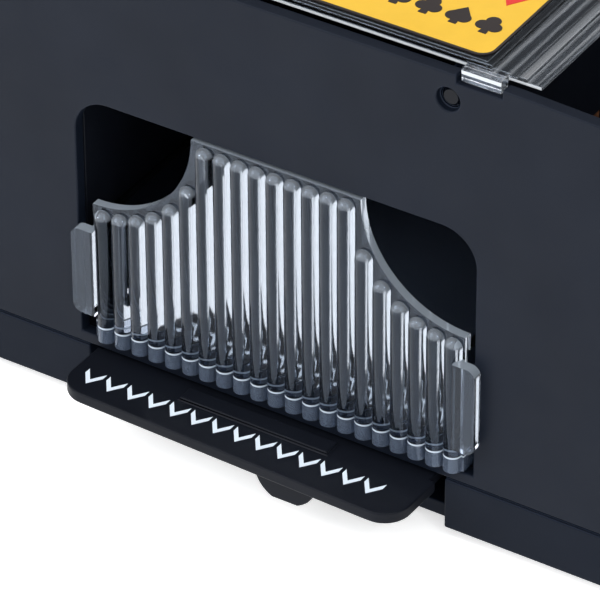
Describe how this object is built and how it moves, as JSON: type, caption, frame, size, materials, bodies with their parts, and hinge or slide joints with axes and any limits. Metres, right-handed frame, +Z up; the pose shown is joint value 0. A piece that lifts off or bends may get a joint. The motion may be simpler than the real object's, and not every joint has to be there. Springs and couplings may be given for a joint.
{
  "type": "automatic card shuffler",
  "caption": "Box-shaped table machine with card bays over powered rollers, a clear lid, a ribbed clear pull-out card tray and a press lever at the front.",
  "frame": {"origin": "middle of the footprint, lever included, on the surface that the feet stand on", "axes": "+Z up; the front with the tray and lever faces -Y; +X runs across both card bays to the right as seen from the front"},
  "size_m": [0.214, 0.1164, 0.0874],
  "materials": {
    "housing": "fine satin moulded ABS, charcoal",
    "base": "fine satin moulded ABS, near black",
    "lever": "smooth matt moulded plastic, black",
    "clear": "clear glossy polystyrene",
    "label": "printed glossy vinyl label",
    "rubber": "matt black rubber",
    "gate_rubber": "brown rubber pad",
    "steel": "bright steel",
    "pin": "glossy black moulded pin",
    "motor_can": "plated steel can",
    "brass": "plain bronze and brass",
    "gear": "natural white nylon",
    "cell": "plain sleeve on a dry cell",
    "wire_red": "red wire sleeve",
    "wire_black": "black wire sleeve"
  },
  "bodies": {
    "housing": {"upper_housing": "housing", "bay_floor_left": "housing", "bay_floor_right": "housing", "gear_bulkhead": "housing", "base_shell": "base", "base_screws": "steel", "rubber_feet": "rubber", "tray_deck": "base", "feed_plate_left": "base", "feed_plate_right": "base", "feed_gate_left": "gate_rubber", "feed_gate_right": "gate_rubber", "rear_cap": "housing", "flap_pins": "pin", "lever_pin": "steel", "lever_spring": "steel", "switch_block": "lever", "switch_moving_leaf": "brass", "switch_fixed_leaf": "brass", "battery_cells": "cell", "battery_contacts": "steel", "battery_springs": "steel", "motor_left": "motor_can", "motor_right": "motor_can", "motor_strap_left": "steel", "motor_strap_right": "steel", "strap_screws": "steel", "gear_axles": "steel", "roller_bushings": "brass", "wire_switch": "wire_red", "wire_motor_left": "wire_red", "wire_motor_right": "wire_red", "wire_return": "wire_black", "wire_motor_link": "wire_black"},
    "cover": {"top_cover": "clear", "cover_label": "label"},
    "tray": {"card_tray": "clear"},
    "lever": {"press_lever": "lever"},
    "door": {"battery_door": "base"},
    "flap_left": {"guide_flap_left": "base"},
    "flap_right": {"guide_flap_right": "base"},
    "roller_left": {"roller_shaft_left": "steel", "roller_hubs_left": "gear", "roller_tyres_left": "rubber", "roller_gear_left": "gear"},
    "roller_right": {"roller_shaft_right": "steel", "roller_hubs_right": "gear", "roller_tyres_right": "rubber", "roller_gear_right": "gear"},
    "compound_left": {"compound_gear_left": "gear"},
    "compound_right": {"compound_gear_right": "gear"},
    "pinion_left": {"motor_pinion_left": "gear"},
    "pinion_right": {"motor_pinion_right": "gear"}
  },
  "joints": [
    {"name": "tray_slide", "type": "slide", "parent": "housing", "child": "tray", "axis": [0, -1, 0], "range_m": [0, 0.084]},
    {"name": "cover_lift", "type": "slide", "parent": "housing", "child": "cover", "axis": [0, 0, 1], "range_m": [0, 0.04]},
    {"name": "lever_press", "type": "hinge", "parent": "housing", "child": "lever", "pos_m": [0, -0.01575, 0.008], "axis": [1, 0, 0], "range_deg": [0, 4.5], "stiffness_Nm_per_rad": 0.6, "springref_deg": -4.58, "deforming": ["lever_spring"]},
    {"name": "door_slide", "type": "slide", "parent": "housing", "child": "door", "axis": [1, 0, 0], "range_m": [0, 0.062]},
    {"name": "flap_left_swing", "type": "hinge", "parent": "housing", "child": "flap_left", "pos_m": [-0.03045, 0.00145, 0.0808], "axis": [0, -1, 0], "range_deg": [0, 50]},
    {"name": "flap_right_swing", "type": "hinge", "parent": "housing", "child": "flap_right", "pos_m": [0.03045, 0.00145, 0.0808], "axis": [0, 1, 0], "range_deg": [0, 50]},
    {"name": "roller_left_spin", "type": "hinge", "parent": "housing", "child": "roller_left", "pos_m": [-0.0501, 0.00145, 0.0524], "axis": [0, 1, 0], "continuous": true},
    {"name": "compound_left_spin", "type": "hinge", "parent": "housing", "child": "compound_left", "pos_m": [-0.06472, 0.05145, 0.04396], "axis": [0, 1, 0], "continuous": true},
    {"name": "pinion_left_spin", "type": "hinge", "parent": "housing", "child": "pinion_left", "pos_m": [-0.08379, 0.05145, 0.05025], "axis": [0, 1, 0], "continuous": true},
    {"name": "roller_right_spin", "type": "hinge", "parent": "housing", "child": "roller_right", "pos_m": [0.0501, 0.00145, 0.0524], "axis": [0, 1, 0], "continuous": true},
    {"name": "compound_right_spin", "type": "hinge", "parent": "housing", "child": "compound_right", "pos_m": [0.06472, 0.05145, 0.04396], "axis": [0, 1, 0], "continuous": true},
    {"name": "pinion_right_spin", "type": "hinge", "parent": "housing", "child": "pinion_right", "pos_m": [0.08379, 0.05145, 0.05025], "axis": [0, 1, 0], "continuous": true}
  ],
  "couplings": [
    {"joint": "compound_left_spin", "follows": "roller_left_spin", "ratio": -2.5},
    {"joint": "pinion_left_spin", "follows": "roller_left_spin", "ratio": 10},
    {"joint": "compound_right_spin", "follows": "roller_right_spin", "ratio": -2.5},
    {"joint": "pinion_right_spin", "follows": "roller_right_spin", "ratio": 10}
  ]
}
